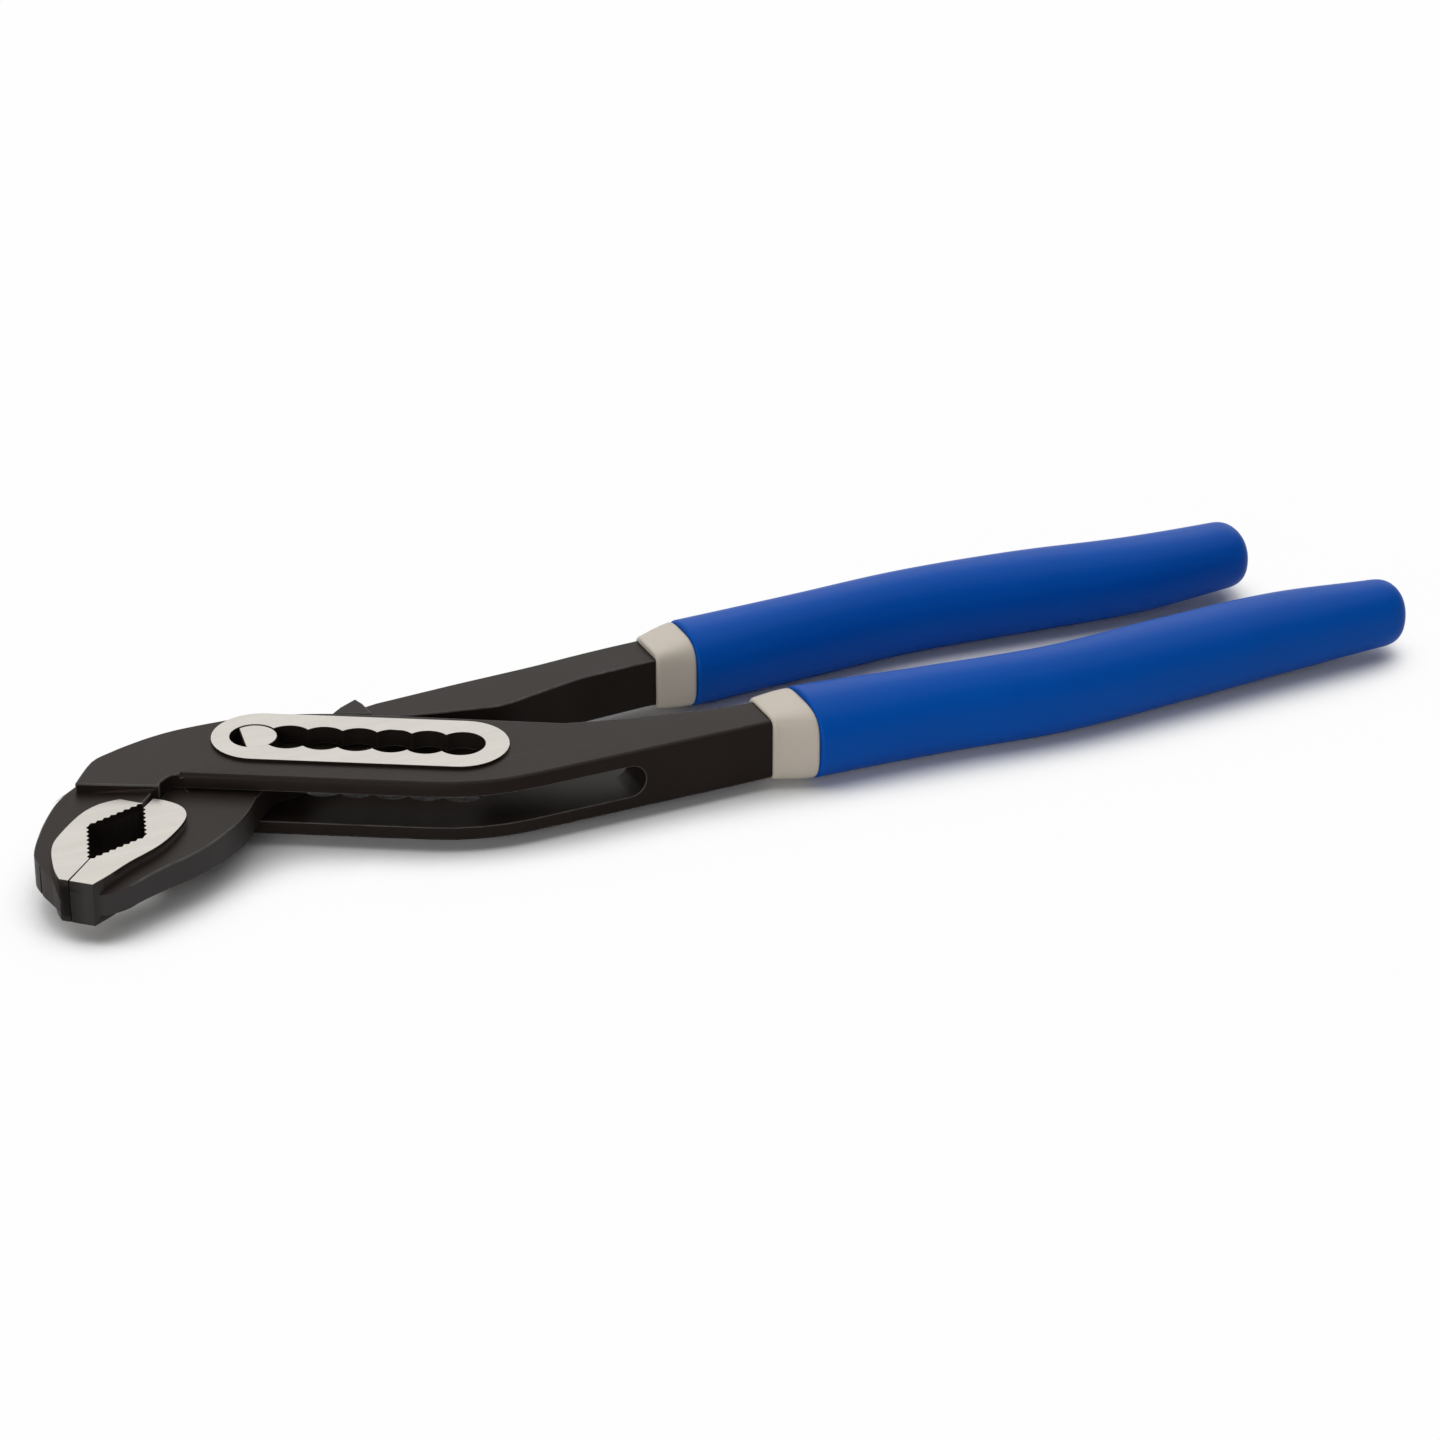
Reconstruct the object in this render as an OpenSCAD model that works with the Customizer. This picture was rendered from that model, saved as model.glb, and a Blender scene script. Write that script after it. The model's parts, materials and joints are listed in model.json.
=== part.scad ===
// Slip joint pliers with a box joint: one lever is a box with a row of holes,
// the other passes through it on a pin that can stand in any of the holes.
// The jaws point to -X, the handles to +X, and the tool lies flat on its grips.

/* [Slot] */
// Number of notches that the pin can stand in
notches = 7; // [4:1:8]
// Distance from one notch to the next
pitch = 5.75; // [5.2:0.05:6.2]
// Angle of the row of notches to the handles
slot_angle = 29.6; // [28.5:0.1:30.5]
// Radius of one notch
notch_r = 4.0; // [3.9:0.05:4.3]
// Radius of the ground ring round the row of notches
ring_r = 7.95; // [7:0.05:9]
// How far the ring's left end stands in from the first notch
ring_start = 0.9; // [0:0.1:1.5]
// Height of the ground ring above the box
ring_rise = 0.5; // [0.2:0.05:1]

/* [Pin] */
// Radius of the pin
pin_r = 3.9; // [3.5:0.05:3.95]
// Distance of the pin's flat from its axis
pin_flat = 1.85; // [1.5:0.05:3]
// Direction in which the flat faces
pin_flat_angle = 170; // [160:1:180]
// How far the pin's ends lie below the ring
pin_sink = 0.1; // [0.05:0.05:0.5]
// Running clearance of the pin in the inner lever
pin_clear = 0.05; // [0.02:0.01:0.1]

/* [Outer lever] */
// Thickness of the box and of the handle behind it
box_t = 10.8; // [10.4:0.1:12]
// Distance from the row of notches to the front edge of the box
box_front = 13.1; // [12.4:0.1:13.3]
// Distance from the row of notches to the back edge of the box
box_back = 9.9; // [9:0.1:10.3]
// Length of the box's crown beyond the pin, towards the jaws
crown_l = 26.4; // [26:0.1:27.5]
// Length of the rounding at the bend of the front edge
bend_round = 9; // [3:0.5:12]
// Length from the pin to the outer collar
outer_reach = 80; // [78:0.5:90]
// Distance from the pin to the front edge of the outer handle
outer_drop = 31; // [30.5:0.1:32]
// Width of the outer handle at its collar
outer_end_w = 7.8; // [7:0.1:8.6]
// Size of the chamfer along the front edge of the box
box_chamfer = 0.6; // [0.3:0.1:1.5]

/* [Window] */
// Height of the window that the inner lever passes through
window_h = 5.6; // [4.8:0.1:6.2]
// Distance from the pin to the left end of the window
window_left = 8.9; // [8.6:0.1:9.5]
// Length from the pin to the round right end of the window
window_right = 57; // [56:0.5:60]
// Length from the pin to the end of the relief behind the window
relief_right = 68.5; // [68:0.1:71]
// Distance from the front edge of the outer handle to the relief
relief_front = 7.4; // [7:0.1:7.6]
// Clearance of the inner jaw's flank in the window's height, on each side
tongue_clear = 0.15; // [0.05:0.05:0.3]
// How much thinner the tongue is than the flank, on each side
tongue_step = 0.25; // [0.1:0.05:0.4]

/* [Jaws] */
// Distance from the pin to the line on which the jaws meet
seam_off = 8.75; // [8.5:0.05:9]
// Length from the foot of the seam to the nose
nose_s = 50.4; // [48:0.1:53]
// Width of the outer jaw
outer_jaw_w = 13.5; // [12.8:0.05:14]
// Width of the inner jaw
inner_jaw_w = 16.2; // [15.5:0.1:17]
// Width of the ground face on either side of the seam
boss_w = 8.95; // [8.6:0.05:9.3]
// Thickness of the ground faces of the jaws
boss_t = 7.6; // [6.6:0.1:9]
// Thickness of the outer jaw's flank at its root
outer_flank_t = 8.0; // [7.2:0.1:9]
// Thickness of the outer jaw's flank at the nose
outer_nose_t = 4.6; // [3.5:0.1:6]
// Thickness of the inner jaw's flank at the nose
inner_nose_t = 3.7; // [3:0.1:4.5]
// Gap between the closed jaws
seam_gap = 0.2; // [0.1:0.05:0.4]
// Gap between the jaws above the pipe grip
root_gap = 0.9; // [0.4:0.05:1.2]
// Length of the diamond opening that grips a pipe
grip_l = 19.1; // [16:0.1:21]
// Width of the diamond opening
grip_w = 9.9; // [8:0.1:11]
// Start of the diamond opening along the seam
grip_s = 23.8; // [23.3:0.1:25]
// Pitch of the teeth in the diamond opening
tooth_pitch = 1.3; // [1:0.05:1.8]
// Depth of the teeth
tooth_d = 0.45; // [0.2:0.05:0.6]

/* [Inner lever] */
// Radius of the tongue round the pin
tongue_r = 8.2; // [7.6:0.1:8.4]
// Thickness of the inner handle
inner_t = 8.7; // [7.5:0.1:9.5]
// Thickness of the stop shoulder
stop_t = 10.2; // [9.5:0.1:10.5]
// Gap between the two handles where they nest at the last notch
nest_gap = 0.5; // [0.4:0.05:0.6]
// Length from the pin to the inner collar
inner_reach = 72.5; // [71:0.5:80]
// Width of the inner handle at its collar
inner_end_w = 8; // [7:0.1:8.5]
// Distance from the pin to the back edge of the inner handle
inner_rise = 7.5; // [7.2:0.1:8]

/* [Collars and grips] */
// Length of the outer collar
outer_collar_l = 7.2; // [5:0.1:9]
// Length of the inner collar
inner_collar_l = 7.0; // [5:0.1:9]
// Width of the outer collar where the lever enters it
outer_collar_w = 10.7; // [10.4:0.1:12]
// Cover of the outer collar over the lever's flat faces
collar_cover = 0.65; // [0.5:0.05:1.2]
// Wall of a collar round the end of a lever
collar_wall = 0.8; // [0.5:0.05:1.2]
// How far a grip stands proud of its collar
grip_proud = 0.8; // [0.4:0.05:1.2]
// Length of the outer grip
outer_grip_l = 115.2; // [100:0.1:140]
// Length of the inner grip
inner_grip_l = 109.4; // [95:0.1:135]
// Half width of the grips where they are widest
grip_half_w = 8.3; // [7.8:0.05:8.6]
// Half height of the grips where they are highest
grip_half_h = 7.5; // [7:0.05:8.5]
// Length of the rounded end of a grip
cap_l = 5; // [3:0.1:8]
// Radius of the rounded front edge of a grip
lip_r = 0.5; // [0.2:0.05:0.8]
// Width of the steel tang in a grip
tang_w = 6.2; // [4:0.1:7]
// Thickness of the steel tang in a grip
tang_t = 6.4; // [4:0.1:8]
// Length of grip beyond the end of the tang
tang_short = 12; // [8:0.5:25]
// Clearance between the steel and the mouldings on it
sleeve_clear = 0.05; // [0.02:0.01:0.1]
// Depth to which a lever enters its collar
collar_seat = 1.6; // [0.8:0.1:2.5]

/* [Hidden] */

// Facets of a full circle, and of a grip's section
fine = 96;
around = 28;
// Points between two points of a smoothed outline
steps = 4;
// Overrun of every cut
over = 1;

// Colours of the finishes
black_steel = [0.24, 0.23, 0.22];
ground_steel = [0.8, 0.78, 0.74];
collar_paint = [0.76, 0.73, 0.67];
grip_paint = [0.0, 0.22, 0.6];

// The row of notches
travel = (notches - 1) * pitch;
// Half heights
box_h = box_t / 2;
ring_h = box_h + ring_rise;
flank_h = window_h / 2 - tongue_clear;
tongue_h = flank_h - tongue_step;

// Turning and placing points
function turned(p, a) = [p[0] * cos(a) - p[1] * sin(a), p[0] * sin(a) + p[1] * cos(a)];
// From along and across the row of notches to the tool
function from_slot(p) = turned(p, -slot_angle);
// From along the seam, towards the nose, and across it, towards the inner jaw
seam_angle = 225;
seam_foot = turned([0, -seam_off], seam_angle);
function from_seam(p) = seam_foot + turned(p, seam_angle);
function all_from_slot(ps) = [for (p = ps) from_slot(p)];
function all_from_seam(ps) = [for (p = ps) from_seam(p)];
function scaled(shares, l, w) = [for (s = shares) [s[0] * l, s[1] * w]];

// A smooth curve through four points or values, between the middle two
function spline(a, b, c, d, t) = 0.5 * (2 * b + (c - a) * t
    + (2 * a - 5 * b + 4 * c - d) * t * t + (3 * b - a - 3 * c + d) * t * t * t);
// A smooth curve through the points of an open outline
function smooth(ps) = let (n = len(ps) - 1) concat(
    [for (i = [0:n - 1]) for (k = [0:steps - 1])
        spline(ps[max(i - 1, 0)], ps[i], ps[i + 1], ps[min(i + 2, n)], k / steps)],
    [ps[n]]);
// The value at a share of the way along evenly spaced ones
function along(vs, t) = let (n = len(vs) - 1, x = min(max(t, 0), 1) * n, i = min(floor(x), n - 1))
    spline(vs[max(i - 1, 0)], vs[i], vs[i + 1], vs[min(i + 2, n)], x - i);
// The rounded corner at b on the way from a to c, of length r on either leg
function corner(a, b, c, r) = let (p = b + r * (a - b) / norm(a - b), q = b + r * (c - b) / norm(c - b))
    [for (k = [0:steps]) let (t = k / steps) (1 - t) * (1 - t) * p + 2 * t * (1 - t) * b + t * t * q];
// Teeth along the way from p to q, cut to the left of it
function teeth(p, q) = let (way = q - p, l = norm(way), n = round(l / tooth_pitch),
        side = turned(way / l, 90))
    [for (i = [0:n - 1]) each [p + way * i / n, p + way * (i + 0.5) / n + side * tooth_d]];

// Outline of the box and the outer handle
crown_shares = [[-1, -1.79], [-0.955, -1.03], [-0.86, -0.657], [-0.757, -0.354], [-0.648, -0.08],
    [-0.531, 0.157], [-0.424, 0.327], [-0.307, 0.49], [-0.189, 0.64], [-0.068, 0.757],
    [0.053, 0.848], [0.174, 0.909], [0.32, 0.96], [0.5, 1]];
gap_shares = [[-0.36, -1], [-0.42, -1.02], [-0.446, -1.08], [-0.465, -1.16], [-0.481, -1.245],
    [-0.473, -1.32]];
outer_back_shares = [[0.605, -0.534], [0.679, -0.592], [0.76, -0.6435], [0.844, -0.6875],
    [0.929, -0.726]];
outer_back = scaled(outer_back_shares, outer_reach, outer_drop);
outer_end_x = outer_reach + collar_seat - sleeve_clear;
bend_u = (outer_drop - box_front * cos(slot_angle)) / sin(slot_angle);
gap_line = smooth(all_from_slot(scaled(gap_shares, crown_l, box_front)));
front_line = concat([[outer_end_x, -outer_drop]],
    corner([outer_end_x, -outer_drop], from_slot([bend_u, -box_front]), from_slot([0, -box_front]),
        bend_round), [gap_line[0]]);
outer_outline = concat(
    smooth(all_from_slot(scaled(crown_shares, crown_l, box_back))),
    smooth(concat(outer_back, [[outer_reach, outer_end_w - outer_drop]])),
    [[outer_end_x, outer_end_w - outer_drop]], front_line,
    [for (i = [1:len(gap_line) - 1]) gap_line[i]]);

// Outlines on the jaws, along and across the seam
outer_jaw_shares = [[0.407, -0.919], [0.476, -0.973], [0.556, -1], [0.659, -0.95], [0.754, -0.865],
    [0.853, -0.734], [0.909, -0.556], [0.958, -0.332], [1, -0.127]];
inner_jaw_shares = [[0.265, 0.945], [0.355, 0.994], [0.43, 1], [0.497, 0.975], [0.6, 0.908],
    [0.685, 0.81], [0.752, 0.703], [0.831, 0.602], [0.915, 0.506], [0.975, 0.385], [0.996, 0.25]];
boss_shares = [[1, -0.184], [0.944, -0.45], [0.835, -0.8], [0.74, -0.9], [0.577, -0.86],
    [0.48, -0.536], [0.4306, 0.034], [0.4365, 0.598], [0.484, 0.905], [0.569, 1], [0.696, 0.95],
    [0.825, 0.715], [0.9226, 0.58], [0.996, 0.458]];
block_shares = [[0.3145, 0.275], [0.289, 0.19], [0.3095, 0.027]];
flank_root_share = 0.4;
outer_root_shares = [[0.387, 0], [0.337, -0.23]];

// At the last notch the inner handle's front edge nests over the outer handle's back edge
last_notch = from_slot([travel, 0]);
outer_mid_shares = [-0.877, -0.942, -1.011, -0.975, -0.94, -0.972];
outer_wide_shares = [1, 0.859, 0.852, 0.893, 0.867, 0.625];
outer_grip_x = outer_reach + outer_collar_l;
outer_collar_mid = outer_collar_w / 2 - collar_wall - outer_drop;
function outer_top(t) = outer_drop * along(outer_mid_shares, t)
    + grip_half_w * along(outer_wide_shares, t);
nest_table = concat(outer_back, [[outer_reach, outer_collar_mid + outer_collar_w / 2]],
    [for (t = [0:0.05:0.3]) [outer_grip_x + t * outer_grip_l, outer_top(t)]]);
function nest_y(x) = lookup(x + last_notch[0], nest_table) - last_notch[1] + nest_gap;
inner_front_shares = [[0.365, -0.2], [0.43, -0.6], [0.491, -0.8], [0.584, -0.66], [0.675, -0.44],
    [0.735, -0.31], [0.795, -0.19], [0.859, -0.135], [0.947, -0.09]];
inner_front = [for (p = scaled(inner_front_shares, inner_reach, inner_rise))
    [p[0], max(p[1], nest_y(p[0]))]];
stop_shares = [[0.209, 0.45], [0.2924, 0.04]];
stop_peak_shares = [[0.289, 0.6], [0.2818, 0.876], [0.2354, 0.641]];
inner_back_shares = [[0.913, 0.973], [0.825, 0.922], [0.735, 0.85], [0.641, 0.81], [0.513, 0.765],
    [0.324, 0.659]];
inner_end_x = inner_reach + collar_seat - sleeve_clear;
inner_outline = concat(
    scaled(stop_shares, inner_reach, inner_rise),
    smooth(concat(inner_front, [[inner_reach, inner_rise - inner_end_w]])),
    [[inner_end_x, inner_rise - inner_end_w], [inner_end_x, inner_rise]],
    smooth(concat([[inner_reach, inner_rise]], scaled(inner_back_shares, inner_reach, inner_rise))));

// The tongue keeps clear of the window's right end and of its relief at the last notch
end_clear = 0.7;
relief_clear = 2.2;
relief_gap = 0.45;
window_end = window_right - window_h / 2;
relief_end = relief_right - window_h / 2;
relief_y = relief_front - outer_drop;
tongue_x = window_end - end_clear - last_notch[0];
plate_x = relief_right - relief_clear - last_notch[0];
plate_y = relief_y + relief_gap - last_notch[1];
plate_back_shares = [[0.269, 0.693], [0.345, 0.4], [0.5, -0.4]];
plate_rise_share = 0.13;
neck_shares = [[1.15, -0.45], [0.55, -0.98]];

// Middle lines, half widths and half heights of the grips, from their fronts to their ends
outer_high_shares = [1, 0.99, 0.985, 0.96, 0.9, 0.78];
inner_mid_shares = [0.553, 0.645, 0.748, 0.527, 0.205, 0.245];
inner_wide_shares = [0.89, 0.825, 0.82, 0.869, 0.82, 0.735];
inner_high_shares = [0.98, 0.98, 0.97, 0.95, 0.88, 0.76];
grip_round = 2.2;
lever_round = 7;
collar_round = 3;
rings = 20;
cap_rings = 5;
cap_power = 3;
inner_grip_x = inner_reach + inner_collar_l;
function outer_mid(x) = outer_drop * along(outer_mid_shares, (x - outer_grip_x) / outer_grip_l);
function inner_mid(x) = inner_rise * along(inner_mid_shares, (x - inner_grip_x) / inner_grip_l);

// The whole stands on its grips, with the middle of its box over the origin
low_x = min([for (p = all_from_seam(scaled(outer_jaw_shares, nose_s, outer_jaw_w))) p[0]]);
high_x = outer_grip_x + outer_grip_l;
span = [for (i = [0:rings]) i / rings];
low_y = min([for (t = span) outer_drop * along(outer_mid_shares, t)
    - grip_half_w * along(outer_wide_shares, t)]);
high_y = max([for (t = span) inner_rise * along(inner_mid_shares, t)
    + grip_half_w * along(inner_wide_shares, t)]);
module placed() {
    translate([-(low_x + high_x) / 2, -(low_y + high_y) / 2, grip_half_h]) children();
}

// A flat plate of the given outline, half of it on either side of the middle
module plate(outline, half_t) {
    linear_extrude(half_t * 2, center = true) polygon(outline);
}

module in_slot() {
    rotate(-slot_angle) children();
}

module in_seam() {
    translate(seam_foot) rotate(seam_angle) children();
}

// A slab that thins towards the nose
module wedge(root_h, nose_h) {
    root_s = nose_s * flank_root_share;
    in_seam() rotate([90, 0, 0]) linear_extrude(nose_s * 2, center = true)
        polygon([[0, root_h], [root_s, root_h], [nose_s, nose_h], [nose_s, -nose_h],
            [root_s, -root_h], [0, -root_h]]);
}

// The diamond that grips a pipe, with teeth on its four sides
module grip_opening() {
    root = [grip_s, 0];
    tip = [grip_s + grip_l, 0];
    outer_side = [grip_s + grip_l / 2, -grip_w / 2];
    inner_side = [grip_s + grip_l / 2, grip_w / 2];
    in_seam() linear_extrude(box_t * 2, center = true)
        polygon(concat(teeth(root, inner_side), teeth(inner_side, tip), teeth(tip, outer_side),
            teeth(outer_side, root)));
}

module ground_boss() {
    plate(all_from_seam(smooth(scaled(boss_shares, nose_s, boss_w))), boss_t / 2);
}

// One side of the seam: the outer jaw's at -1, the inner jaw's at 1
module seam_side(side) {
    tip_gap = side * seam_gap / 2;
    root_side = side < 0 ? tip_gap : root_gap - seam_gap / 2;
    in_seam() linear_extrude(box_t * 2, center = true)
        polygon([[0, root_side], [grip_s, root_side], [grip_s + grip_l, tip_gap],
            [nose_s + over, tip_gap], [nose_s + over, side * nose_s], [0, side * nose_s]]);
}

module outer_jaw() {
    rim = smooth(scaled(outer_jaw_shares, nose_s, outer_jaw_w));
    foot = scaled(outer_root_shares, nose_s, outer_jaw_w);
    intersection() {
        plate(all_from_seam(concat(rim, [[nose_s, 0]], foot)), box_h);
        wedge(outer_flank_t / 2, outer_nose_t / 2);
        seam_side(-1);
    }
}

// The notches, and the window through which the tongue passes
module notches_cut() {
    for (i = [0:notches - 1])
        translate(from_slot([i * pitch, 0]))
            cylinder(h = box_t * 2, r = notch_r, center = true, $fn = fine);
}

module window_cut() {
    window_shares = [[0.436, 0], [0.298, 0]];
    front_s = nose_s * window_shares[0][0];
    seam_edge = [for (s = window_shares) from_seam([s[0] * nose_s, -seam_gap / 2])];
    plate(concat(seam_edge,
        [from_slot([-window_left, -pin_r / 2]), from_slot([-window_left, box_back * 2]),
         [window_end, 0], [window_end, -outer_drop - over],
         from_slot([bend_u, -box_front - over]), from_seam([front_s, boss_w])]), window_h / 2);
    translate([window_end, -outer_drop - over, 0]) rotate([-90, 0, 0])
        cylinder(h = outer_drop, r = window_h / 2, $fn = fine);
    translate([tongue_x + last_notch[0], relief_y, -window_h / 2])
        cube([relief_end - tongue_x - last_notch[0], outer_drop, window_h]);
    translate([relief_end, relief_y, 0]) rotate([-90, 0, 0])
        cylinder(h = outer_drop, r = window_h / 2, $fn = fine);
}

// A chamfer cut along an edge, from a to b, at the height h
module edge_cut(a, b, h) {
    way = b - a;
    side = box_chamfer * sqrt(2);
    translate([a[0], a[1], h]) rotate(atan2(way[1], way[0])) rotate([45, 0, 0])
        translate([-box_chamfer, -side / 2, -side / 2])
            cube([norm(way) + box_chamfer * 2, side, side]);
}

// The steel that a grip is pushed onto
module tang(x0, x1, is_outer, clear) {
    n = rings / 2;
    xs = [for (i = [0:n]) x0 + (x1 + clear - x0) * i / n];
    ys = [for (x = xs) is_outer ? outer_mid(x) : inner_mid(x)];
    h = tang_w / 2 + clear;
    plate(concat([for (i = [0:n]) [xs[i], ys[i] + h]], [for (i = [n:-1:0]) [xs[i], ys[i] - h]]),
        tang_t / 2 + clear);
}

module outer_tang(clear) {
    tang(outer_end_x - over, outer_grip_x + outer_grip_l - tang_short, true, clear);
}

module inner_tang(clear) {
    tang(inner_end_x - over, inner_grip_x + inner_grip_l - tang_short, false, clear);
}

// Box, outer jaw and outer handle, forged in one
module outer_lever() {
    color(black_steel) placed() {
        difference() {
            union() {
                plate(outer_outline, box_h);
                outer_jaw();
                intersection() {
                    ground_boss();
                    seam_side(-1);
                }
                in_slot() linear_extrude(ring_h * 2, center = true) {
                    translate([ring_start, 0]) circle(r = ring_r, $fn = fine);
                    translate([travel, 0]) circle(r = ring_r, $fn = fine);
                    translate([ring_start, -ring_r]) square([travel - ring_start, ring_r * 2]);
                }
            }
            notches_cut();
            window_cut();
            grip_opening();
            for (h = [-box_h, box_h]) for (i = [1:len(front_line) - 1])
                edge_cut(front_line[i - 1], front_line[i], h);
        }
        outer_tang(0);
    }
}

// Inner jaw, tongue and inner handle, forged in one
module inner_lever() {
    block = scaled(block_shares, nose_s, inner_jaw_w);
    rim = smooth(scaled(inner_jaw_shares, nose_s, inner_jaw_w));
    color(black_steel) placed() {
        difference() {
            union() {
                plate(concat([from_seam(block[2])],
                    [for (a = [167:-8:75]) turned([tongue_r, 0], a)],
                    scaled(plate_back_shares, inner_reach, inner_rise),
                    [[plate_x, plate_y], [tongue_x, plate_y + inner_rise * plate_rise_share]],
                    all_from_slot(scaled(neck_shares, tongue_r, tongue_r)),
                    all_from_seam([rim[0], rim[4], [nose_s * flank_root_share, boss_w]])), tongue_h);
                intersection() {
                    plate(all_from_seam(concat(rim, [[nose_s, 0], [block[2][0], 0]],
                        [block[2], block[1], block[0]])), box_h);
                    wedge(flank_h, inner_nose_t / 2);
                    seam_side(1);
                }
                intersection() {
                    ground_boss();
                    seam_side(1);
                }
                plate(inner_outline, inner_t / 2);
                plate(concat(scaled(stop_shares, inner_reach, inner_rise),
                    scaled(stop_peak_shares, inner_reach, inner_rise)), stop_t / 2);
            }
            cylinder(h = box_t * 2, r = pin_r + pin_clear, center = true, $fn = fine);
            grip_opening();
        }
        inner_tang(0);
    }
}

// The pin: round in the tongue, with a flat on either end
module joint_pin() {
    pin_h = ring_h - pin_sink;
    color(ground_steel) placed() difference() {
        cylinder(h = pin_h * 2, r = pin_r, center = true, $fn = fine);
        for (up = [0, 1]) mirror([0, 0, up]) rotate(pin_flat_angle)
            translate([pin_flat, -pin_r, tongue_h]) cube([pin_r, pin_r * 2, pin_h]);
    }
}

// One ring of points of a moulding, and a closed skin over many
function ring(x, y, a, c, n) = [for (k = [0:around - 1]) let (t = 360 * k / around)
    [x, y + a * sign(cos(t)) * pow(abs(cos(t)), 2 / n), c * sign(sin(t)) * pow(abs(sin(t)), 2 / n)]];

module skin(rows) {
    n = len(rows) - 1;
    polyhedron(
        points = [for (r = rows) each r],
        faces = concat(
            [for (i = [0:n - 1]) for (k = [0:around - 1])
                let (m = (k + 1) % around, p = i * around, q = p + around)
                each [[p + k, q + m, p + m], [p + k, q + k, q + m]]],
            [[for (k = [0:around - 1]) k]],
            [[for (k = [around - 1:-1:0]) n * around + k]]));
}

// A collar that widens from the lever's end to the grip
module collar_shell(x0, x1, y0, y1, w0, w1, h0, h1) {
    skin([ring(x0, y0, w0, h0, lever_round), ring(x1, y1, w1, h1, collar_round)]);
}

// The pocket that the end of a lever sits in
module collar_pocket(x, y, w, t) {
    translate([x + (collar_seat - over) / 2, y, 0])
        cube([collar_seat + over, w + sleeve_clear * 2, t + sleeve_clear * 2], center = true);
}

module outer_collar() {
    color(collar_paint) placed() difference() {
        collar_shell(outer_reach, outer_grip_x, outer_collar_mid, outer_mid(outer_grip_x),
            outer_collar_w / 2, grip_half_w * outer_wide_shares[0] - grip_proud,
            box_h + collar_cover, grip_half_h * outer_high_shares[0] - grip_proud);
        collar_pocket(outer_reach, outer_end_w / 2 - outer_drop, outer_end_w, box_t);
        outer_tang(sleeve_clear);
    }
}

module inner_collar() {
    mid = inner_rise - inner_end_w / 2;
    color(collar_paint) placed() difference() {
        collar_shell(inner_reach, inner_grip_x, mid, inner_mid(inner_grip_x),
            inner_end_w / 2 + collar_wall, grip_half_w * inner_wide_shares[0] - grip_proud,
            inner_t / 2 + collar_wall, grip_half_h * inner_high_shares[0] - grip_proud);
        collar_pocket(inner_reach, mid, inner_end_w, inner_t);
        inner_tang(sleeve_clear);
    }
}

// A dipped sleeve: a rounded lip, a long body that follows the hand, a rounded end
module grip_shell(x0, l, drop, mid_shares, wide_shares, high_shares) {
    body_l = l - cap_l;
    xs = concat([for (i = [0:rings]) lip_r + (body_l - lip_r) * i / rings],
        [for (i = [1:cap_rings]) body_l + cap_l * sin(90 * i / (cap_rings + 1))]);
    lip = [ring(x0, drop * mid_shares[0], grip_half_w * wide_shares[0] - lip_r,
        grip_half_h * high_shares[0] - lip_r, grip_round)];
    skin(concat(lip, [for (x = xs) let (t = x / l, e = max(x - body_l, 0) / cap_l,
            f = pow(1 - pow(e, cap_power), 1 / cap_power))
        ring(x0 + x, drop * along(mid_shares, t), grip_half_w * along(wide_shares, t) * f,
            grip_half_h * along(high_shares, t) * f, grip_round)]));
}

module outer_grip() {
    color(grip_paint) placed() difference() {
        grip_shell(outer_grip_x, outer_grip_l, outer_drop, outer_mid_shares, outer_wide_shares,
            outer_high_shares);
        outer_tang(sleeve_clear);
    }
}

module inner_grip() {
    color(grip_paint) placed() difference() {
        grip_shell(inner_grip_x, inner_grip_l, inner_rise, inner_mid_shares, inner_wide_shares,
            inner_high_shares);
        inner_tang(sleeve_clear);
    }
}

outer_lever();
inner_lever();
joint_pin();
outer_collar();
inner_collar();
outer_grip();
inner_grip();
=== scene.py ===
import json
import math

import bmesh
import bpy
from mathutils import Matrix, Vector


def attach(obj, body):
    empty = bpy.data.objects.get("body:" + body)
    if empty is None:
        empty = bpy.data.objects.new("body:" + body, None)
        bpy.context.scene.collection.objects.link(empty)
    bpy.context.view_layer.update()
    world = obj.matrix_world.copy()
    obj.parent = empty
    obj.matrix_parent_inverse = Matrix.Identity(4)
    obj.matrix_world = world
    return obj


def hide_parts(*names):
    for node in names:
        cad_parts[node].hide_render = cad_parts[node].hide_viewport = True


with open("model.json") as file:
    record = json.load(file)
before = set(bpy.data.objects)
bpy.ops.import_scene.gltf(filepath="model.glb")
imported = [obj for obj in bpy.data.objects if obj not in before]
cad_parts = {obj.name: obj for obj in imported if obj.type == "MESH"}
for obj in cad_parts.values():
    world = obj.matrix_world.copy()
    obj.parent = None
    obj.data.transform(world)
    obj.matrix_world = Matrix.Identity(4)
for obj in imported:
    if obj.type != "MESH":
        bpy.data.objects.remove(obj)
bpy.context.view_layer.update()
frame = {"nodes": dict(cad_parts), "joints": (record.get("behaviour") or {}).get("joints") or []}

# Outer lever: one drop forging of chrome vanadium steel, with the far half of the nose,
# the box that is milled through for the other lever, and the front handle. It is black
# phosphated all over, then ground bright on the ring round the notches and on the nose.
hinge = Vector(next(j for j in frame["joints"] if j["name"] == "jaw_hinge")["pos_m"])
MM = 0.001


def from_pin(p):
    """A point of the tool in millimetres from the pin's axis and the mid plane."""
    return (Vector(p) - hinge) / MM


# The nose points away from the pin at 45 degrees, along the seam between its two halves
DIAGONAL = math.sqrt(0.5)


def toward_nose(q):
    """How far a point lies along the way the nose points."""
    return (-q.x - q.y) * DIAGONAL


def across_nose(q):
    """How far a point lies to the inner lever's side of the nose."""
    return (q.x - q.y) * DIAGONAL


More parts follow.
